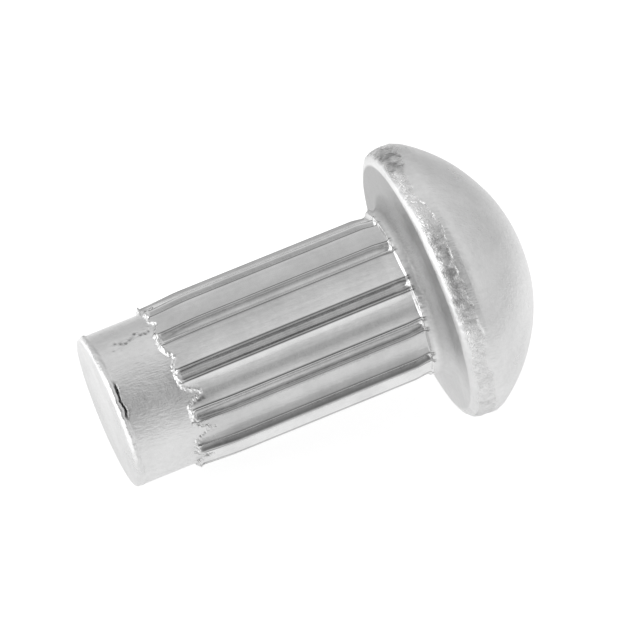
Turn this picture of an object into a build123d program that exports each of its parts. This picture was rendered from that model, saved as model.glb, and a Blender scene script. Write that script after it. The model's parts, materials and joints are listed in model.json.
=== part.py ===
"""Nameplate rivet: a one-piece, cold-headed drive pin with a domed head and a fluted grip.

Millimetres, +Z up. The rivet lies on a flat surface at z = 0 the way it comes to rest: on the rim of
its head and on the lower edge of its pilot. Its axis rises towards the head, which faces +X, and
stays in the XZ plane. The origin is the middle of its footprint, on the surface.
"""
from build123d import *
import math
import os

# Overall sizes
UNDERHEAD_LENGTH = 5.23  # pilot end to the head's bearing face
HEAD_HEIGHT = 1.75  # bearing face to the top of the dome
HEAD_DIAMETER = 4.48
PILOT_DIAMETER = 2.46  # the blank wire, left plain at the pilot

# Head
RIM_HEIGHT = 0.47  # bearing face to the edge of the dome
RIM_CORNER = 0.22  # round under the rim
DOME_EDGE = 0.08  # round between the rim and the dome
UNDERHEAD_FILLET = 0.285

# Pilot
PILOT_LENGTH = 1.03
PILOT_EDGE = 0.04

# Flutes: narrow rolled grooves with a raised lip on each side and a hollow land between lips
FLUTES = 12
FIRST_GROOVE_ANGLE = 11.5  # degrees about the axis, from straight up towards -Y
GROOVE_WIDTH = 0.21  # from lip to lip
GROOVE_DEPTH = 0.03  # groove root below the pilot's surface
GROOVE_ROOT = 0.02  # radius in the groove's root
LIP_RISE = 0.105  # lip above the pilot's surface
LIP_ROUND = 0.03
LAND_RISE = 0.005  # middle of a land above the pilot's surface
LEAD_IN_LENGTH = 0.42  # the lips rise to full height over this length

# The round faces' seam, turned like a groove, close to the side that the rivet lies on, where a
# faceted copy of the solid then rests flat on a facet and does not roll.
SEAM_ANGLE = 176

# Derived sizes
head_radius = HEAD_DIAMETER / 2
pilot_radius = PILOT_DIAMETER / 2
lip_radius = pilot_radius + LIP_RISE
root_radius = pilot_radius - GROOVE_DEPTH
land_radius = pilot_radius + LAND_RISE
flute_pitch = 360 / FLUTES
flute_end = UNDERHEAD_LENGTH - UNDERHEAD_FILLET
total_length = UNDERHEAD_LENGTH + HEAD_HEIGHT
dome_rise = HEAD_HEIGHT - RIM_HEIGHT
dome_radius = (head_radius**2 + dome_rise**2) / (2 * dome_rise)
outline_plane = Plane.XZ.rotated((SEAM_ANGLE, 0, 0))


def pilot():
    """The plain end of the blank, revolved about X, with its end edge just broken."""
    outline = Rectangle(PILOT_LENGTH, pilot_radius, align=(Align.MIN, Align.MIN))
    end_corner = outline.vertices().sort_by(Axis.X)[:2].sort_by(Axis.Y)[-1]
    outline = fillet(end_corner, PILOT_EDGE)
    return revolve(outline_plane * outline, Axis.X)


def head():
    """Under-head fillet, bearing face, rim and dome, revolved about X."""
    fillet_foot = lip_radius + UNDERHEAD_FILLET
    dome_foot = UNDERHEAD_LENGTH + RIM_HEIGHT
    corner_foot = head_radius - RIM_CORNER
    outline = [
        Line((flute_end, 0), (flute_end, lip_radius)),
        CenterArc((flute_end, fillet_foot), UNDERHEAD_FILLET, -90, 90),
        Line((UNDERHEAD_LENGTH, fillet_foot), (UNDERHEAD_LENGTH, corner_foot)),
        CenterArc((UNDERHEAD_LENGTH + RIM_CORNER, corner_foot), RIM_CORNER, 90, 90),
        Line((UNDERHEAD_LENGTH + RIM_CORNER, head_radius), (dome_foot, head_radius)),
        RadiusArc((dome_foot, head_radius), (total_length, 0), dome_radius),
        Line((total_length, 0), (flute_end, 0)),
    ]
    face = make_face(outline)
    dome_corner = face.vertices().sort_by_distance((dome_foot, head_radius))[0]
    face = fillet(dome_corner, DOME_EDGE)
    return revolve(outline_plane * face, Axis.X)


def flute_section():
    """Cross-section of the fluted grip, with one groove on +Y of the sketch.

    Each groove wall is a straight line tangent to the root's round and to the lip's round, and each
    land is an arc tangent to the lips on both sides of it.
    """
    lip_angle = math.asin(GROOVE_WIDTH / 2 / lip_radius)
    lip_centre_radius = lip_radius - LIP_ROUND
    lip_centre = Vector(0, lip_centre_radius).rotate(Axis.Z, math.degrees(lip_angle))
    root_centre = Vector(0, root_radius + GROOVE_ROOT)

    # The normal of the wall is turned from the line of centres until both rounds touch the wall.
    across = lip_centre - root_centre
    turn = math.degrees(math.acos((LIP_ROUND + GROOVE_ROOT) / across.length))
    wall_normal = across.normalized().rotate(Axis.Z, turn)
    wall_foot = root_centre + wall_normal * GROOVE_ROOT
    wall_top = lip_centre - wall_normal * LIP_ROUND
    lip_top = Vector(0, lip_radius).rotate(Axis.Z, math.degrees(lip_angle))

    # Radius of the land's arc, from its lowest point and its tangency with the lip's round.
    half_land = math.radians(flute_pitch / 2) - lip_angle
    reach = lip_centre_radius * math.cos(half_land)
    gap_squared = land_radius**2 + lip_centre_radius**2 - 2 * land_radius * reach
    arc_radius = (gap_squared - LIP_ROUND**2) / (2 * (reach + LIP_ROUND - land_radius))
    arc_centre = Vector(0, land_radius + arc_radius).rotate(Axis.Z, flute_pitch / 2)
    land_edge = lip_centre + (arc_centre - lip_centre).normalized() * LIP_ROUND
    land_middle = Vector(0, land_radius).rotate(Axis.Z, flute_pitch / 2)

    def mirrored(point):
        return Vector(-point.X, point.Y)

    def next_flute(point):
        return mirrored(point).rotate(Axis.Z, flute_pitch)

    flute = [
        ThreePointArc(mirrored(wall_foot), Vector(0, root_radius), wall_foot),
        Line(wall_foot, wall_top),
        ThreePointArc(wall_top, lip_top, land_edge),
        ThreePointArc(land_edge, land_middle, next_flute(land_edge)),
        ThreePointArc(next_flute(land_edge), next_flute(lip_top), next_flute(wall_top)),
        Line(next_flute(wall_top), next_flute(wall_foot)),
    ]
    turns = [FIRST_GROOVE_ANGLE + flute_pitch * index for index in range(FLUTES)]
    return make_face([edge.rotate(Axis.Z, angle) for angle in turns for edge in flute])


def grip():
    """The fluted length, cut back to a cone where the flutes run out onto the pilot."""
    length = flute_end - PILOT_LENGTH
    fluted = extrude(Plane.YZ.offset(PILOT_LENGTH) * flute_section(), length)
    lead_in_end = PILOT_LENGTH + LEAD_IN_LENGTH
    envelope = Polyline(
        (PILOT_LENGTH, 0),
        (PILOT_LENGTH, pilot_radius),
        (lead_in_end, lip_radius),
        (flute_end, lip_radius),
        (flute_end, 0),
        close=True,
    )
    return fluted & revolve(outline_plane * make_face(envelope), Axis.X)


def laid_down(rivet):
    """Tilts the rivet onto its pilot edge and its rim, and centres it on the origin."""
    edge_centre = (PILOT_EDGE, pilot_radius - PILOT_EDGE)
    corner_centre = (UNDERHEAD_LENGTH + RIM_CORNER, head_radius - RIM_CORNER)
    along = corner_centre[0] - edge_centre[0]
    out = corner_centre[1] - edge_centre[1]
    tilt = math.atan2(out, along) + math.asin((RIM_CORNER - PILOT_EDGE) / math.hypot(along, out))
    lift = edge_centre[1] * math.cos(tilt) - edge_centre[0] * math.sin(tilt) + PILOT_EDGE
    low_x = edge_centre[0] * math.cos(tilt) - edge_centre[1] * math.sin(tilt) - PILOT_EDGE
    high_x = (total_length - dome_radius) * math.cos(tilt) + dome_radius
    return Pos(-(low_x + high_x) / 2, 0, lift) * Rot(0, -math.degrees(tilt), 0) * rivet


rivet = laid_down(pilot() + grip() + head())
rivet.label = "rivet"

os.makedirs("parts", exist_ok=True)
export_step(rivet, "parts/rivet.step")
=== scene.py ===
"""Looks of a plated nameplate rivet: one worn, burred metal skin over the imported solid.

Lengths are in millimetres until a mesh is made, where MM turns them into metres. A point on the rivet
is given by its distance along the axis from the pilot's end, its radius, and its turn in degrees about
the axis, counted from straight up towards the viewer's side (-Y).
"""
import json
import math

import bpy
import numpy as np
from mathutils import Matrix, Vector, noise


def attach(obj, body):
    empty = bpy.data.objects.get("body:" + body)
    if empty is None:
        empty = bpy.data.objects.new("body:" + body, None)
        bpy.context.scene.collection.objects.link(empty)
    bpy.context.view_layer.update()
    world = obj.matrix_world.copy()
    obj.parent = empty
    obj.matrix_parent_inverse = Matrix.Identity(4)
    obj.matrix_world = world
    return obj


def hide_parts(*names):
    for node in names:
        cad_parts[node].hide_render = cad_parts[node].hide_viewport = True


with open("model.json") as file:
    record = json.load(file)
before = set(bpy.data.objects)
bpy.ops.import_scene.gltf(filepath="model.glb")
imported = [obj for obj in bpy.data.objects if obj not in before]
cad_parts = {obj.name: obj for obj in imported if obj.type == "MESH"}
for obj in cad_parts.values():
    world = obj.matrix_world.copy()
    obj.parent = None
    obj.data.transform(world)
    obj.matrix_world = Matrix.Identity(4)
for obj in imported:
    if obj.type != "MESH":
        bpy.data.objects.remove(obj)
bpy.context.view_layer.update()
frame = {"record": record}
MM = 0.001
FLOOR_GAP = 0.003 * MM  # keeps the floor just clear of the skin
POOL_REACH = 40 * MM  # how far the pool of light spreads over the floor

# The rivet's sizes, as in the solid
UNDERHEAD = 5.23
HEAD_HEIGHT = 1.75
HEAD_RADIUS = 2.24
RIM_HEIGHT = 0.47
RIM_CORNER = 0.22
DOME_EDGE = 0.08
FILLET = 0.285
PILOT_RADIUS = 1.23
PILOT_LENGTH = 1.03
PILOT_EDGE = 0.04
FLUTES = 12
FIRST_GROOVE = 11.5
GROOVE_WIDTH = 0.21
GROOVE_DEPTH = 0.03
GROOVE_ROOT = 0.02
LIP_RISE = 0.105
LIP_ROUND = 0.03
LAND_RISE = 0.005

TOTAL = UNDERHEAD + HEAD_HEIGHT
LIP_RADIUS = PILOT_RADIUS + LIP_RISE
FLUTE_END = UNDERHEAD - FILLET
PITCH = 360 / FLUTES
DOME_RISE = HEAD_HEIGHT - RIM_HEIGHT
DOME_RADIUS = (HEAD_RADIUS**2 + DOME_RISE**2) / (2 * DOME_RISE)
DOME_CENTRE = TOTAL - DOME_RADIUS

# The view: the camera looks down on the rivet from the pilot's side
CAMERA_TURN = math.radians(-21.41)
CAMERA_RISE = math.radians(40.0)
CAMERA_TARGET = Vector((0.057, -0.339, 2.304)) * MM
CAMERA_DISTANCE = 96.0 * MM
CAMERA_LENS = 350.0
TO_CAMERA = Vector((
    math.sin(CAMERA_TURN) * math.cos(CAMERA_RISE),
    -math.cos(CAMERA_TURN) * math.cos(CAMERA_RISE),
    math.sin(CAMERA_RISE),
))
FACING = 46.2  # turn of the side that faces the camera
AWAY_ON_FLOOR = (-math.sin(CAMERA_TURN), math.cos(CAMERA_TURN), 0.0)

# A bright panel beside the pilot: where it is, how far from its middle it is full and ends, in degrees
SIDE_PANEL = Vector((-0.97, -0.08, 0.20)).normalized()
PANEL_FULL = 14
PANEL_EDGE = 34
PANEL_LEVEL = 1.3

# One value for each land or groove, from the first groove round: how deeply the land is pressed, how
# bright it is, how long its run-in is in mm, and how much painted shade darkens the groove's walls
LAND_HOLLOW = (0.35, 1.0, 0.9, 0.6, 0.8, 1.0, 0.7, 0.9, 0.5, 0.8, 0.6, 0.4)
LAND_TONE = (1.0, 1.0, 0.80, 1.0, 0.95, 0.9, 1.0, 0.95, 0.9, 1.0, 0.85, 0.86)
RUN_IN = (0.15, 0.34, 0.38, 0.30, 0.25, 0.40, 0.30, 0.22, 0.35, 0.30, 0.25, 0.13)
GROOVE_SHADE = (0.34, 0.62, 0.5, 0.62, 0.1, 0.3, 0.5, 0.4, 0.3, 0.5, 0.3, 0.08)


# ---------------------------------------------------------------- small helpers

def smooth(low, high, x):
    """0 below low, 1 above high, and a smooth step between. It falls instead if low is the larger."""
    t = np.clip((x - low) / (high - low), 0, 1)
    return t * t * (3 - 2 * t)


def hump(x, centre, half_width):
    """A smooth hump of height 1 that is 0 beyond half_width from its centre."""
    t = np.clip(np.abs(x - centre) / half_width, 0, 1)
    return (1 - t * t) ** 2


def turn_from(turn, centre):
    """Signed difference of two turns, from -180 to 180 degrees."""
    return (turn - centre + 180) % 360 - 180


def rough(points, size, seed):
    """Smooth noise of about -1 to 1 over points, with features about size mm across."""
    offset = Vector((seed * 7.13, seed * 3.71, seed * 5.57))
    scale = 1.0 / size
    return np.array([noise.noise(Vector(p) * scale + offset) for p in points]) * 1.6


# ---------------------------------------------------------------- fluted section

def polar(radius, degrees):
    """Point of the cross-section, with a groove's middle at 0 degrees, on +Y."""
    a = math.radians(degrees)
    return np.array([-radius * math.sin(a), radius * math.cos(a)])


def flute_profile():
    """Returns a function that gives the grip's height over the pilot at an angle from a groove."""
    lip_angle = math.degrees(math.asin(GROOVE_WIDTH / 2 / LIP_RADIUS))
    lip_centre_radius = LIP_RADIUS - LIP_ROUND
    root_centre_radius = PILOT_RADIUS - GROOVE_DEPTH + GROOVE_ROOT
    land_radius = PILOT_RADIUS + LAND_RISE
    across = polar(lip_centre_radius, lip_angle) - polar(root_centre_radius, 0)
    distance = np.hypot(*across)
    direction = math.atan2(across[1], across[0]) + math.acos((LIP_ROUND + GROOVE_ROOT) / distance)
    normal = np.array([math.cos(direction), math.sin(direction)])
    foot = polar(root_centre_radius, 0) + normal * GROOVE_ROOT
    top = polar(lip_centre_radius, lip_angle) - normal * LIP_ROUND
    reach = lip_centre_radius * math.cos(math.radians(PITCH / 2 - lip_angle))
    squared = land_radius**2 + lip_centre_radius**2 - 2 * land_radius * reach
    arc = (squared - LIP_ROUND**2) / (2 * (reach + LIP_ROUND - land_radius))
    arc_centre_radius = land_radius + arc
    to_arc = polar(arc_centre_radius, PITCH / 2) - polar(lip_centre_radius, lip_angle)
    edge = polar(lip_centre_radius, lip_angle) + to_arc / np.hypot(*to_arc) * LIP_ROUND

    def angle_of(point):
        return math.degrees(math.atan2(-point[0], point[1]))

    def ray_radius(a, centre_radius, centre_angle, radius, side):
        b = np.radians(a - centre_angle)
        inside = np.maximum(radius**2 - (centre_radius * np.sin(b)) ** 2, 0)
        return centre_radius * np.cos(b) + side * np.sqrt(inside)

    def height(angle):
        a = np.abs(angle)
        root = ray_radius(a, root_centre_radius, 0, GROOVE_ROOT, -1)
        lip = ray_radius(a, lip_centre_radius, lip_angle, LIP_ROUND, 1)
        land = ray_radius(a, arc_centre_radius, PITCH / 2, arc, -1)
        ray_x = -np.sin(np.radians(a))
        ray_y = np.cos(np.radians(a))
        step = top - foot
        wall = (foot[0] * step[1] - foot[1] * step[0]) / (ray_x * step[1] - ray_y * step[0])
        stretches = [a < angle_of(foot), a < angle_of(top), a < angle_of(edge)]
        return np.select(stretches, [root, wall, lip], land) - PILOT_RADIUS

    return height, lip_angle


flute_height, LIP_ANGLE = flute_profile()


# ---------------------------------------------------------------- meridian

def zone(name, along, radius, normal_along, normal_out):
    """Rows of one stretch of the outline, each with its outward normal."""
    return [(name, *row) for row in zip(along, radius, normal_along, normal_out)]


def arc_zone(name, count, centre, radius, start, end):
    """Rows round an arc, less its first point. Angles are of the outward normal: 90 is straight out
    and 180 is the pilot's way. A hollow arc has a negative radius."""
    a = np.radians(np.linspace(start, end, count + 1)[1:])
    along = centre[0] + radius * np.cos(a)
    out = centre[1] + radius * np.sin(a)
    return zone(name, along, out, np.cos(a), np.sin(a))


def line_zone(name, stops, counts, fixed, along_axis=True):
    """Rows along a straight stretch, with a row count for each gap between stops."""
    values = np.concatenate([np.linspace(a, b, n + 1)[1:] for a, b, n in zip(stops, stops[1:], counts)])
    n = len(values)
    if along_axis:
        return zone(name, values, np.full(n, fixed), np.zeros(n), np.ones(n))
    return zone(name, np.full(n, fixed), values, -np.ones(n), np.zeros(n))


def outline_rows():
    """The rivet's outline as rows of (zone, along, radius, normal)."""
    corner_foot = HEAD_RADIUS - RIM_CORNER
    rim_foot = UNDERHEAD + RIM_CORNER
    dome_foot = UNDERHEAD + RIM_HEIGHT
    edge_angle = math.degrees(math.asin(HEAD_RADIUS / DOME_RADIUS))
    rows = line_zone("end", [0.1, 0.9, PILOT_RADIUS - PILOT_EDGE], [5, 8], 0.0, along_axis=False)
    rows += arc_zone("shank", 6, (PILOT_EDGE, PILOT_RADIUS - PILOT_EDGE), PILOT_EDGE, 180, 90)
    shank_stops = [PILOT_EDGE, 0.16, 0.98, 1.5, 2.0, 4.62, 4.86, FLUTE_END]
    rows += line_zone("shank", shank_stops, [8, 22, 46, 9, 14, 7, 8], PILOT_RADIUS)
    rows += arc_zone("fillet", 9, (FLUTE_END, LIP_RADIUS + FILLET), -FILLET, 90, 180)
    rows += line_zone("seat", [LIP_RADIUS + FILLET, corner_foot], [6], UNDERHEAD, along_axis=False)
    rows += arc_zone("corner", 8, (rim_foot, corner_foot), RIM_CORNER, 180, 90)
    rows += line_zone("rim", [rim_foot, dome_foot - DOME_EDGE / 2], [10], HEAD_RADIUS)
    rows += arc_zone("dome", 34, (DOME_CENTRE, 0), DOME_RADIUS, edge_angle - 0.6, 1.0)
    return rows


def turn_columns():
    """Turns of the mesh's columns: close together at each groove, wider apart on the lands."""
    per_pitch = 40
    half = PITCH / 2
    offsets = np.interp(np.arange(per_pitch), [0, 8, 32, per_pitch], [-half, -6.5, 6.5, half])
    return np.concatenate([FIRST_GROOVE + PITCH * k + offsets for k in range(FLUTES)]) % 360


# ---------------------------------------------------------------- worn surface

def grip_height(along, turn, spot):
    """Height of the fluted grip over the pilot's surface, with its run-in, how far it is rolled, and
    how much painted shade its grooves and the pits of its burr get, with each land's own tone."""
    rng = np.random.default_rng(11)
    starts = PILOT_LENGTH + rng.uniform(-0.05, 0.05, FLUTES)
    index = np.round((turn - FIRST_GROOVE) / PITCH).astype(int) % FLUTES
    angle = turn_from(turn, FIRST_GROOVE + index * PITCH)
    jag = rough(spot, 0.05, 1) * 0.5 + rough(spot, 0.11, 2) * 0.6
    start = starts[index] + 0.02 * jag
    a = np.abs(angle)
    into = along - start

    # Lips pile up at once as a blunt nose, then climb slowly to full height.
    nose = np.sqrt(np.clip(into / 0.07, 0, 1))
    climb = nose * (0.66 + 0.34 * smooth(0.0, 0.75, into))
    end_fade = 1 - 0.25 * smooth(FLUTE_END - 0.30, FLUTE_END - 0.05, along)
    land_share = np.clip((a - LIP_ANGLE) / (PITCH / 2 - LIP_ANGLE), 0, 1)
    index_of_land = np.where(angle > 0, index, index - 1) % FLUTES
    bite = np.array(RUN_IN)[index_of_land]
    reach = 0.14 + 0.93 * np.clip(into / bite, 0, 1) ** 0.7 + 0.10 * jag * smooth(1.2, 0.8, into / bite)
    share = np.clip(land_share / np.clip(reach, 0.05, 1), 0, 1)
    hollow = np.array(LAND_HOLLOW)[index_of_land]
    land = LIP_RISE - hollow * (LIP_RISE - flute_height(LIP_ANGLE + share * (PITCH / 2 - LIP_ANGLE)))
    land *= 1 - smooth(0.75, 1.0, share) * (reach < 1)

    # The groove starts as a rounded scoop between the noses.
    scoop_start = 0.02 + 0.07 * (a / LIP_ANGLE) ** 2
    cut = smooth(scoop_start, scoop_start + 0.06, into)
    floor_fade = 1 - 0.5 * smooth(FLUTE_END - 0.1, FLUTE_END + 0.01, along)
    groove = LIP_RISE - cut * floor_fade * (LIP_RISE - flute_height(np.minimum(a, LIP_ANGLE)))
    height = np.where(a < LIP_ANGLE, groove, land) * climb * end_fade
    height -= np.where(a < LIP_ANGLE, cut * floor_fade * (1 - climb * end_fade) * 0.03, 0)

    # A torn rim of metal where the rollers first bit.
    edge = hump(land_share, reach, 0.16) * (into > 0) * (reach < 1.02)
    front = hump(into, 0.03, 0.06) * smooth(0.45, 0.1, land_share)
    crumbs = rough(spot, 0.035, 21)
    burr = (0.45 + 1.1 * jag + 0.9 * crumbs) * (0.030 * edge + 0.032 * front)
    height += burr
    rolled = smooth(0.0, 0.05, into) * smooth(reach + 0.02, reach - 0.06, land_share)
    tone = np.array(LAND_TONE)[index_of_land] * smooth(LIP_ANGLE, LIP_ANGLE + 1.5, a)
    # Painted shade on the groove walls; each rolled land also gets its own tone.
    wall = hump(a, 3.2, 1.9) * cut * np.array(GROOVE_SHADE)[index]
    shade_and_tone = np.clip(wall + (1 - np.where(a < LIP_ANGLE, 1, tone)) * rolled, 0, 1)
    # Painted shade in the low pits of the burr.
    shade_and_tone = np.maximum(shade_and_tone, np.clip(-burr / 0.016, 0, 0.6))
    return np.where(into > -0.05, height, 0), rolled * (along < FLUTE_END), shade_and_tone * (into > -0.05)


def lengthwise_streaks(turn, along):
    """Fine ridges drawn along the flutes by the rollers, as height."""
    rng = np.random.default_rng(5)
    table = rng.normal(0, 1, 720)
    fine = np.interp(turn, np.arange(0, 360, 0.5), table, period=360)
    drift = np.interp(along, [1.0, 3.0, 5.0], [0.8, 1.0, 0.7])
    return 0.0012 * fine * drift


def end_edge(along, turn, spot):
    """Burr folded over the pilot's end edge on one side, and the torn gap behind it, made black with painted
    shade.
    """
    from_middle = turn_from(turn, 50)
    on_side = smooth(-94, -80, from_middle) * smooth(82, 70, from_middle)
    wave = rough(spot, 0.16, 3) * 0.5 + rough(spot, 0.06, 4) * 0.35
    lip = hump(along, 0.068 + 0.018 * wave, 0.072) * (0.042 + 0.020 * wave)
    gap_side = smooth(24, 33, turn) * smooth(60, 49, turn)
    gap = hump(along, 0.128 + 0.024 * wave, 0.026) * gap_side
    return on_side * lip * (1 - 0.5 * gap) - 0.04 * gap, np.clip(1.7 * gap, 0, 1)


def pilot_dents(along, turn):
    """A short row of small pits and specks along the pilot's upper side."""
    rng = np.random.default_rng(3)
    height = np.zeros(len(along))
    for k, place in enumerate(np.linspace(0.36, 1.0, 20)):
        across = rng.normal(-1.5, 1.6) + 3.0 * (0.7 - place)
        size = rng.uniform(0.028, 0.055)
        arc = np.radians(turn_from(turn, across)) * PILOT_RADIUS
        distance = np.hypot((along - place) / 0.7, arc + 0.35 * (along - place))
        rise = rng.uniform(0.015, 0.034) if k % 2 else rng.uniform(-0.045, -0.02)
        height += rise * hump(distance, 0, size)
    return height


def neck_tag(along, turn):
    """Small pointed tag of metal on top, where the shank meets the head."""
    across = np.abs(turn_from(turn, -42)) / 9
    lean = np.clip((along - 4.86) / 0.14, 0, 1) * smooth(5.05, 5.0, along)
    return 0.075 * lean * np.clip(1 - across, 0, 1)


def collar_burr(along, spot):
    """Thin grainy ring where the flutes stop under the head."""
    grain = rough(spot, 0.045, 5)
    place = FLUTE_END - 0.01 + 0.012 * rough(spot, 0.2, 6)
    return hump(along, place, 0.035) * (0.012 + 0.010 * grain)


def hammered_rim(along, turn, spot):
    """Crumpled, torn band round the head's rim: its height, how torn it is and how much painted shade it gets.
    """
    wander = 0.05 * rough(spot, 0.5, 13) + 0.02 * rough(spot, 0.12, 14)
    low = UNDERHEAD + 0.045 + 0.3 * wander
    high = UNDERHEAD + 0.33 + wander
    facing = turn_from(turn, FACING)
    high -= 0.10 * hump(facing, -36, 20)
    band = smooth(low, low + 0.04, along) * smooth(high + 0.03, high - 0.03, along)
    crumple = 0.9 * rough(spot, 0.14, 7) + 0.7 * rough(spot, 0.07, 8) + 0.35 * rough(spot, 0.036, 9)
    # Painted shade on two stretches of the band, set by their turn from the side that faces the camera.
    camera_side_shade = smooth(-26, -14, facing) * smooth(27, 17, facing)
    camera_side_shade += smooth(-84, -70, facing) * smooth(-46, -58, facing)
    # The crumple's low pits get painted shade too.
    pits = np.clip(0.35 - 0.6 * crumple, 0, 1)
    return band * 0.014 * (crumple - 0.5), band, band * (0.06 * pits + camera_side_shade * (0.12 + 0.45 * pits))


def build_skin():
    """The whole surface as one closed mesh, with attributes that say how each part was formed, and one that
    holds painted shade and each land's own tone.
    """
    rows = outline_rows()
    columns = turn_columns()
    count = len(columns)
    zones = np.repeat([row[0] for row in rows], count)
    along, radius, normal_along, normal_out = (np.repeat([row[i] for row in rows], count) for i in (1, 2, 3, 4))
    turn = np.tile(columns, len(rows))
    radians = np.radians(turn)
    spot = np.stack([along, -radius * np.sin(radians), radius * np.cos(radians)], 1)

    height = np.zeros(len(along))
    rolled = np.zeros(len(along))
    torn = np.zeros(len(along))
    shade_and_tone = np.zeros(len(along))
    dull = np.zeros(len(along))

    shank = (zones == "shank") & (along > 0.9)
    height[shank], rolled[shank], shade_and_tone[shank] = grip_height(along[shank], turn[shank], spot[shank])
    height += lengthwise_streaks(turn, along) * rolled
    near_end = (zones == "shank") & (along < 0.2)
    edge_height, gap = end_edge(along[near_end], turn[near_end], spot[near_end])
    height[near_end] += edge_height
    # Painted shade makes the torn gap black.
    shade_and_tone[near_end] = gap
    pilot = (zones == "shank") & (along > 0.2) & (along < 1.1)
    dents = pilot_dents(along[pilot], turn[pilot])
    height[pilot] += dents
    # Painted shade in the sunk pits of the dents.
    shade_and_tone[pilot] = np.maximum(shade_and_tone[pilot], np.clip(-dents / 0.03, 0, 0.7))

    # The collar runs from the flutes' own height to the fillet's foot.
    fillet = zones == "fillet"
    joining = (zones == "shank") & (along > FLUTE_END - 0.04)
    rise = smooth(FLUTE_END - 0.04, FLUTE_END, along[joining])
    height[joining] = height[joining] * (1 - rise) + (LIP_RADIUS - PILOT_RADIUS) * rise
    collar = ((zones == "shank") & (along > FLUTE_END - 0.1)) | (fillet & (along < FLUTE_END + 0.1))
    height[collar] += collar_burr(along[collar], spot[collar])
    height[collar] += neck_tag(along[collar], turn[collar])

    rim = np.isin(zones, ["corner", "rim", "dome"]) & (along < UNDERHEAD + RIM_HEIGHT + 0.2)
    height[rim], torn[rim], shade_and_tone[rim] = hammered_rim(along[rim], turn[rim], spot[rim])
    dome = zones == "dome"
    height[dome] += 0.004 * rough(spot[dome], 0.7, 10)

    # The bearing face and the hollow under it are rougher, the most in the hollow, and get painted shade, more
    # in the hollow and most of all on the upper side.
    seat = np.isin(zones, ["seat", "fillet"])
    height[seat] += 0.003 * rough(spot[seat], 0.3, 12)
    facing = turn_from(turn[seat], FACING)
    upper = smooth(75, 5, facing) * smooth(-175, -130, facing)
    under = smooth(LIP_RADIUS, LIP_RADIUS + 0.03, radius[seat])
    hollow = smooth(LIP_RADIUS + FILLET, LIP_RADIUS + 0.15, radius[seat])
    dull[seat] = under * (1 + 0.6 * hollow)
    shade_and_tone[seat] = under * (0.08 + (0.34 + 0.08 * hollow) * upper)

    along = along + normal_along * height
    radius = radius + normal_out * height
    local = np.stack([along, -radius * np.sin(radians), radius * np.cos(radians)], 1)
    poles = np.array([[0.0, 0.0, 0.0], [TOTAL, 0.0, 0.0]])
    vertices = np.concatenate([local, poles])

    grid = np.arange(len(rows) * count).reshape(len(rows), count)
    following = np.roll(grid, -1, axis=1)
    quads = np.stack([grid[:-1], grid[1:], following[1:], following[:-1]], -1).reshape(-1, 4)
    first_pole, last_pole = len(local), len(local) + 1
    faces = [tuple(q) for q in quads.tolist()]
    faces += [(first_pole, a, b) for a, b in zip(grid[0].tolist(), following[0].tolist())]
    faces += [(last_pole, b, a) for a, b in zip(grid[-1].tolist(), following[-1].tolist())]

    mesh = bpy.data.meshes.new("rivet_skin")
    mesh.from_pydata((placed(vertices) * MM).tolist(), [], faces)
    for name, values in (("rolled", rolled), ("torn", torn), ("shade_and_tone", shade_and_tone), ("dull", dull)):
        layer = mesh.attributes.new(name, "FLOAT", "POINT")
        layer.data.foreach_set("value", np.append(values, [0, 0]).astype(np.float32))
    mesh.polygons.foreach_set("use_smooth", [True] * len(mesh.polygons))
    mesh.update()
    skin = bpy.data.objects.new("rivet_skin", mesh)
    bpy.context.scene.collection.objects.link(skin)
    return skin


def placed(points):
    """Moves points from the rivet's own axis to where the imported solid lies."""
    pilot = next(m for m in frame["record"]["mounts"] if m["name"] == "pilot")
    out = np.array(pilot["axis"])
    pilot_middle = (PILOT_EDGE + PILOT_LENGTH) / 2
    end = np.array(pilot["pos_m"]) / MM + out * pilot_middle
    forward = -out
    side = np.array([0.0, 1.0, 0.0])
    up = np.cross(forward, side)
    return end + points[:, :1] * forward + points[:, 1:2] * side + points[:, 2:3] * up


# ---------------------------------------------------------------- material

class Nodes:
    """Short ways to add and join shader nodes."""

    def __init__(self, tree):
        self.tree = tree

    def add(self, kind, inputs=None, **settings):
        node = self.tree.nodes.new(kind)
        for key, value in settings.items():
            setattr(node, key, value)
        for key, value in (inputs or {}).items():
            self.put(node.inputs[key], value)
        return node

    def put(self, socket, value):
        if isinstance(value, bpy.types.NodeSocket):
            self.tree.links.new(value, socket)
        else:
            socket.default_value = value

    def math(self, operation, a, b=0.0, c=0.0):
        return self.add("ShaderNodeMath", {0: a, 1: b, 2: c}, operation=operation).outputs[0]

    def spread(self, value, from_low, from_high, to_low, to_high):
        inputs = {"Value": value, "From Min": from_low, "From Max": from_high}
        inputs |= {"To Min": to_low, "To Max": to_high}
        return self.add("ShaderNodeMapRange", inputs).outputs["Result"]

    def noise(self, vector, scale, detail=2.0, roughness=0.5):
        inputs = {"Vector": vector, "Scale": scale, "Detail": detail, "Roughness": roughness}
        return self.add("ShaderNodeTexNoise", inputs).outputs["Fac"]


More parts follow.
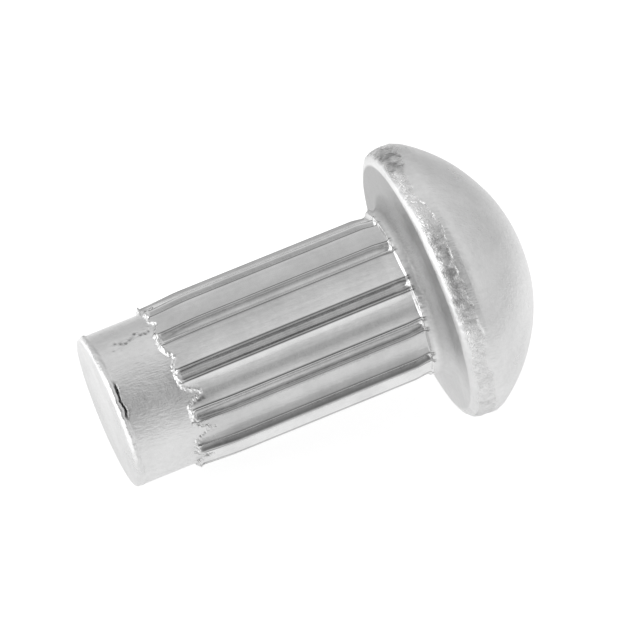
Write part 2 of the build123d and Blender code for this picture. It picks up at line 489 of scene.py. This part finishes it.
def plated_steel():
    """Bright plating: satin on the drawn and headed skin, glossier where it was rolled, coarse where torn."""
    material = bpy.data.materials.new("plated_steel")
    material.use_nodes = True
    material.node_tree.nodes.clear()
    n = Nodes(material.node_tree)
    place = n.add("ShaderNodeTexCoord").outputs["Object"]
    mm = n.add("ShaderNodeVectorMath", {0: place, "Scale": 1 / MM}, operation="SCALE").outputs[0]
    rolled = n.add("ShaderNodeAttribute", attribute_name="rolled").outputs["Fac"]
    torn = n.add("ShaderNodeAttribute", attribute_name="torn").outputs["Fac"]
    shade_and_tone = n.add("ShaderNodeAttribute", attribute_name="shade_and_tone").outputs["Fac"]
    dull = n.add("ShaderNodeAttribute", attribute_name="dull").outputs["Fac"]

    cloud = n.noise(mm, 1.6, 3.0, 0.55)
    peel = n.noise(mm, 11.0, 3.0, 0.6)
    grain = n.noise(mm, 34.0, 2.0, 0.6)
    tilted = n.add("ShaderNodeMapping", {"Vector": mm, "Rotation": (0.4, 0.5, 0.9), "Scale": (6.0, 40.0, 30.0)})
    scratch = n.noise(tilted.outputs[0], 1.0, 2.0, 0.5)

    satin = n.spread(cloud, 0.35, 0.65, 0.27, 0.35)
    glossy = n.spread(peel, 0.3, 0.7, 0.15, 0.22)
    mixed = n.add("ShaderNodeMix", {"Factor": rolled, "A": satin, "B": glossy}, data_type="FLOAT").outputs[0]
    roughness = n.math("MULTIPLY_ADD", torn, -0.08, mixed)
    roughness = n.math("MULTIPLY_ADD", dull, 0.18, roughness)
    mottle = n.math("MULTIPLY_ADD", peel, 0.35, n.math("MULTIPLY", cloud, 0.65))
    tone = n.spread(mottle, 0.36, 0.62, 0.81, 0.93)
    # Painted shade, and each land's own tone, lower the colour.
    tone = n.math("MULTIPLY", tone, n.math("MULTIPLY_ADD", shade_and_tone, -0.95, 1.0))
    colour = n.add("ShaderNodeCombineColor", {0: tone, 1: tone, 2: tone}).outputs[0]

    plain = n.math("SUBTRACT", 1.0, rolled)
    height = n.math("MULTIPLY", peel, 0.9)
    height = n.math("MULTIPLY_ADD", grain, 0.45, height)
    height = n.math("MULTIPLY_ADD", scratch, 0.9, height)
    height = n.math("MULTIPLY", height, n.math("MULTIPLY_ADD", plain, 0.75, 0.25))
    height = n.math("MULTIPLY_ADD", n.math("MULTIPLY", grain, torn), 2.0, height)
    bump = n.add("ShaderNodeBump", {"Strength": 1.0, "Distance": 0.008 * MM, "Height": height})

    shader = n.add("ShaderNodeBsdfPrincipled", {
        "Base Color": colour, "Metallic": 1.0, "Roughness": roughness, "Normal": bump.outputs[0],
    })
    output = n.add("ShaderNodeOutputMaterial")
    n.put(output.inputs["Surface"], shader.outputs[0])
    return material


# ---------------------------------------------------------------- studio

def ramp(n, factor, stops):
    """Colour ramp of greys through (position, level) stops."""
    node = n.add("ShaderNodeValToRGB", {"Fac": factor})
    elements = node.color_ramp.elements
    while len(elements) > 1:
        elements.remove(elements[0])
    elements[0].position = stops[0][0]
    elements[0].color = (stops[0][1],) * 3 + (1,)
    for position, level in stops[1:]:
        elements.new(position).color = (level,) * 3 + (1,)
    return node.outputs["Color"]


def studio_world():
    """A pale room round the rivet, darker where the camera and its stand would be, with a bright panel
    beside the pilot."""
    world = bpy.data.worlds.new("studio")
    bpy.context.scene.world = world
    world.use_nodes = True
    world.node_tree.nodes.clear()
    n = Nodes(world.node_tree)
    direction = n.add("ShaderNodeTexCoord").outputs["Generated"]
    stand = n.add("ShaderNodeVectorMath", {0: direction, 1: tuple(TO_CAMERA)}, operation="DOT_PRODUCT")
    angle = n.math("DIVIDE", n.math("ARCCOSINE", stand.outputs["Value"]), math.pi)

    # Brightness by the angle from the camera's direction, in degrees
    levels = [(0, 0.03), (6, 0.08), (13, 0.34), (24, 0.46), (36, 0.53), (48, 0.63), (60, 0.71)]
    levels += [(74, 0.76), (86, 0.67), (108, 0.60), (120, 0.57), (134, 0.46), (150, 0.48), (180, 0.44)]
    glow = ramp(n, angle, [(a / 180, level) for a, level in levels])
    beside = n.add("ShaderNodeVectorMath", {0: direction, 1: tuple(SIDE_PANEL)}, operation="DOT_PRODUCT")
    edge = math.cos(math.radians(PANEL_EDGE))
    full = math.cos(math.radians(PANEL_FULL))
    panel = n.spread(beside.outputs["Value"], edge, full, 0.0, PANEL_LEVEL)
    strength = n.math("ADD", glow, panel)
    background = n.add("ShaderNodeBackground", {"Color": (1, 1, 1, 1), "Strength": strength})
    output = n.add("ShaderNodeOutputWorld")
    n.put(output.inputs["Surface"], background.outputs[0])


def studio_floor():
    """White floor: pure white to the camera apart from the rivet's shadow, a pool of light in the metal."""
    half = 0.6  # metres
    mesh = bpy.data.meshes.new("floor")
    corners = [(-half, -half, 0), (half, -half, 0), (half, half, 0), (-half, half, 0)]
    mesh.from_pydata(corners, [], [(0, 1, 2, 3)])
    floor = bpy.data.objects.new("floor", mesh)
    floor.location.z = -FLOOR_GAP
    bpy.context.scene.collection.objects.link(floor)
    material = bpy.data.materials.new("floor_white")
    material.use_nodes = True
    material.node_tree.nodes.clear()
    n = Nodes(material.node_tree)
    path = n.add("ShaderNodeLightPath")
    white = n.add("ShaderNodeBsdfDiffuse", {"Color": (0.34, 0.34, 0.34, 1)})
    lift = n.math("MULTIPLY", path.outputs["Is Camera Ray"], 0.86)
    glow = n.add("ShaderNodeEmission", {"Color": (1, 1, 1, 1), "Strength": lift})
    seen = n.add("ShaderNodeAddShader", {0: white.outputs[0], 1: glow.outputs[0]})

    # In the metal the floor is a pool of light round the rivet, brightest behind it and to the left.
    place = n.add("ShaderNodeTexCoord").outputs["Object"]
    away = n.add("ShaderNodeVectorMath", {0: place}, operation="LENGTH").outputs["Value"]
    share = n.math("DIVIDE", away, POOL_REACH)
    ahead = ramp(n, share, [(0.0, 0.87), (0.10, 0.87), (0.2, 0.80), (0.45, 0.64), (1.0, 0.55)])
    behind = ramp(n, share, [(0.0, 0.98), (0.12, 0.98), (0.19, 0.90), (0.35, 0.64), (1.0, 0.48)])
    depth = n.add("ShaderNodeVectorMath", {0: place, 1: AWAY_ON_FLOOR}, operation="DOT_PRODUCT")
    far_side = n.spread(depth.outputs["Value"], 0.5 * MM, 4 * MM, 0.0, 1.1)
    near_side = n.spread(depth.outputs["Value"], 0.5 * MM, 4 * MM, 1.0, 0.0)
    pool = n.math("MULTIPLY_ADD", ahead, near_side, n.math("MULTIPLY", behind, far_side))
    across = n.add("ShaderNodeSeparateXYZ", {0: place}).outputs["X"]
    pool = n.math("ADD", pool, n.spread(across, -3.6 * MM, -6.5 * MM, 0.0, 0.6))
    mirrored = n.add("ShaderNodeEmission", {"Color": (1, 1, 1, 1), "Strength": pool})
    is_glossy = path.outputs["Is Glossy Ray"]
    both = n.add("ShaderNodeMixShader", {0: is_glossy, 1: seen.outputs[0], 2: mirrored.outputs[0]})
    output = n.add("ShaderNodeOutputMaterial")
    n.put(output.inputs["Surface"], both.outputs[0])
    mesh.materials.append(material)


def soft_light(name, place, size, watts):
    """Square lamp aimed at the rivet. Places are in metres."""
    light = bpy.data.lights.new(name, "AREA")
    light.shape = "SQUARE"
    light.size = size
    light.energy = watts
    lamp = bpy.data.objects.new(name, light)
    lamp.location = place
    lamp.rotation_euler = (-Vector(place)).to_track_quat("-Z", "Y").to_euler()
    bpy.context.scene.collection.objects.link(lamp)
    return lamp


def add_camera():
    camera = bpy.data.cameras.new("camera")
    camera.lens = CAMERA_LENS
    camera.clip_start = 1 * MM
    camera.clip_end = 10.0
    holder = bpy.data.objects.new("camera", camera)
    holder.location = CAMERA_TARGET + TO_CAMERA * CAMERA_DISTANCE
    holder.rotation_euler = (-TO_CAMERA).to_track_quat("-Z", "Y").to_euler()
    bpy.context.scene.collection.objects.link(holder)
    bpy.context.scene.camera = holder


# ---------------------------------------------------------------- scene

add_camera()
studio_world()
studio_floor()
overhead = soft_light("overhead", place=(-0.04, 0.03, 0.16), size=0.16, watts=0.10)
overhead.visible_glossy = False

skin = build_skin()
skin.data.materials.append(plated_steel())
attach(skin, "root")
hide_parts("rivet")

bpy.context.scene.view_settings.view_transform = "Standard"
